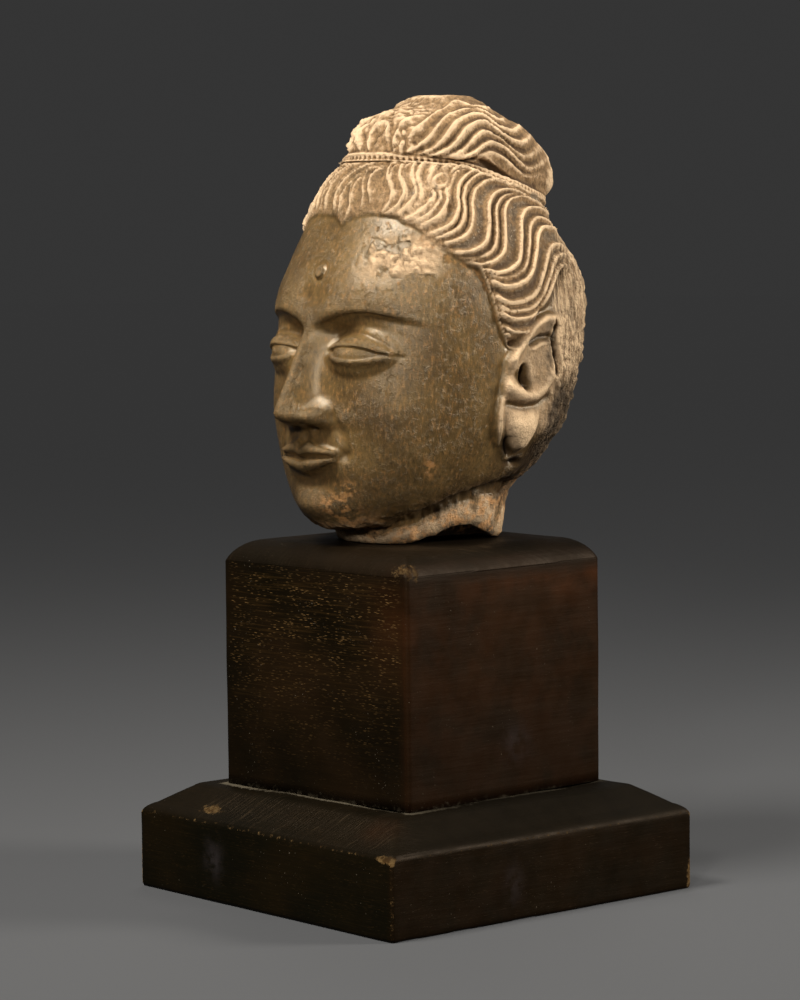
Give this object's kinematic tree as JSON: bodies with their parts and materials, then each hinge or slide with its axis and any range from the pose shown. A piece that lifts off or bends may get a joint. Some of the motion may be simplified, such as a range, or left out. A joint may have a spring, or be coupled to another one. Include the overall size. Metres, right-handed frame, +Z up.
{
  "type": "stone buddha head",
  "caption": "Carved stone Buddha head with wavy hair, tied topknot and long ears, broken at the neck, resting on a stepped square wooden plinth.",
  "frame": {"origin": "middle of the plinth's underside, on the surface it stands on", "axes": "+Z up, the face looks along -Y, the head's left is +X"},
  "size_m": [0.2, 0.2, 0.404],
  "materials": {
    "stone": "weathered grey-brown schist, worn smooth on the face, with tan incrustation in the hair",
    "block_wood": "near-black stained wood, satin, with fine open pores",
    "base_wood": "near-black stained wood, satin, worn to tan at corners"
  },
  "bodies": {
    "root": {"head": "stone", "plinth_block": "block_wood", "plinth_base": "base_wood"}
  },
  "joints": []
}
